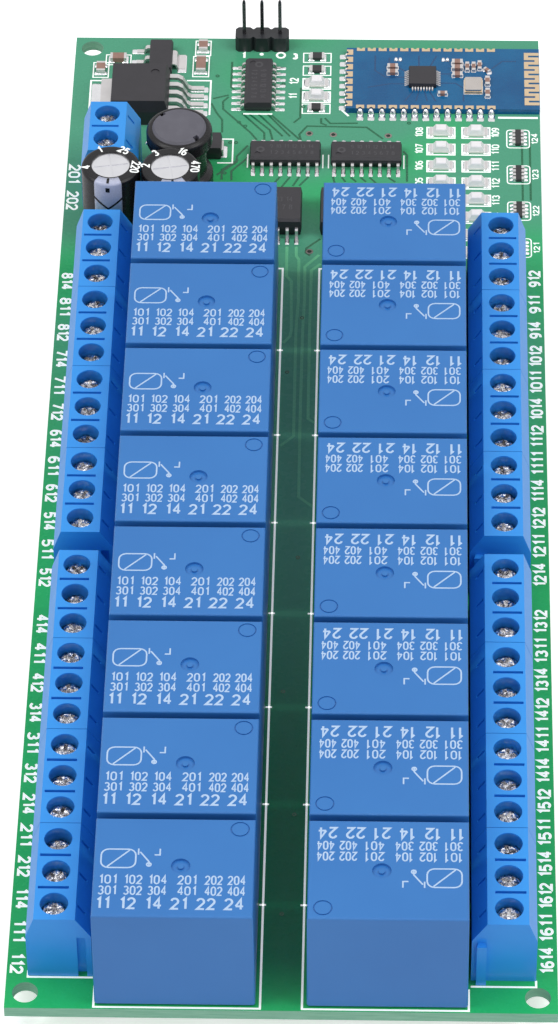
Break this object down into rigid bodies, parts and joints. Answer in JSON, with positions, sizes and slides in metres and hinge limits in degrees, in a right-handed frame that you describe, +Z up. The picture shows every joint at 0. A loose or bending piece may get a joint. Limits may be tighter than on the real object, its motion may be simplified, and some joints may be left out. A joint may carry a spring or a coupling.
{
  "type": "relay module board",
  "caption": "Long circuit board with two banks of sealed relays between rows of interlocking screw terminals; power input, small radio board and signal lamps at one end.",
  "frame": {"origin": "centre of the board's outline, at the height of the tips of the terminal pins that the board stands on", "axes": "+Z up, out of the board's component face; +Y along the board towards the end with the radio board and plug header; +X to the right seen from above with that end far away"},
  "size_m": [0.066, 0.178, 0.0201],
  "materials": {
    "green_board": "glass-fibre laminate under green solder mask",
    "relay_blue": "mid blue moulded plastic, satin",
    "relay_base_blue": "darker blue moulded plastic",
    "terminal_blue": "bright blue moulded plastic, satin",
    "plated_screw": "bright zinc-plated steel",
    "nickel_plate": "nickel-plated metal",
    "tinned_metal": "tin-plated copper alloy",
    "solder": "bright solder",
    "black_plastic": "black moulded plastic",
    "gold_plate": "thin gold plate",
    "chip_black": "charcoal moulded resin",
    "ferrite": "grey sintered ferrite",
    "copper_wire": "enamelled copper wire",
    "black_sleeve": "shrunk black plastic film",
    "aluminium_can": "drawn aluminium",
    "rubber_bung": "black rubber",
    "ceramic_tan": "fired ceramic, tan",
    "resistor_black": "black glazed film on ceramic",
    "lamp_white": "white laminate",
    "lamp_lens": "milky clear resin",
    "blue_board": "laminate under blue solder mask"
  },
  "bodies": {
    "root": {"main_board": "green_board", "relay_cases_left": "relay_blue", "relay_cases_right": "relay_blue", "relay_bases_left": "relay_base_blue", "relay_bases_right": "relay_base_blue", "relay_pins_left": "tinned_metal", "relay_pins_right": "tinned_metal", "terminals_left_front": "terminal_blue", "terminals_left_rear": "terminal_blue", "terminals_right_front": "terminal_blue", "terminals_right_rear": "terminal_blue", "terminal_power": "terminal_blue", "terminal_screws": "plated_screw", "terminal_cages": "nickel_plate", "terminal_contacts": "tinned_metal", "solder_joints": "solder", "header_body": "black_plastic", "header_pins": "tinned_metal", "small_regulator_body": "chip_black", "small_regulator_leads": "tinned_metal", "power_regulator_body": "chip_black", "power_regulator_tab": "tinned_metal", "power_regulator_leads": "tinned_metal", "inductor_core": "ferrite", "inductor_winding": "copper_wire", "inductor_sleeve": "black_sleeve", "inductor_leads": "tinned_metal", "diode_body": "chip_black", "diode_leads": "tinned_metal", "capacitor_cans": "aluminium_can", "capacitor_sleeves": "black_sleeve", "capacitor_bungs": "rubber_bung", "capacitor_leads": "tinned_metal", "chip_capacitor_bodies": "ceramic_tan", "chip_capacitor_ends": "tinned_metal", "resistor_bodies": "resistor_black", "resistor_ends": "tinned_metal", "lamp_bases": "lamp_white", "lamp_lenses": "lamp_lens", "lamp_ends": "tinned_metal", "resistor_array_bodies": "resistor_black", "resistor_array_ends": "tinned_metal", "driver_chip_bodies": "chip_black", "driver_chip_leads": "tinned_metal", "logic_chip_bodies": "chip_black", "logic_chip_leads": "tinned_metal", "radio_board": "blue_board", "radio_pads": "gold_plate", "radio_aerial": "gold_plate", "radio_chip_body": "chip_black", "radio_chip_leads": "tinned_metal", "radio_crystal_can": "nickel_plate", "radio_crystal_base": "gold_plate", "radio_small_parts": "ceramic_tan", "radio_small_ends": "tinned_metal"}
  },
  "joints": []
}
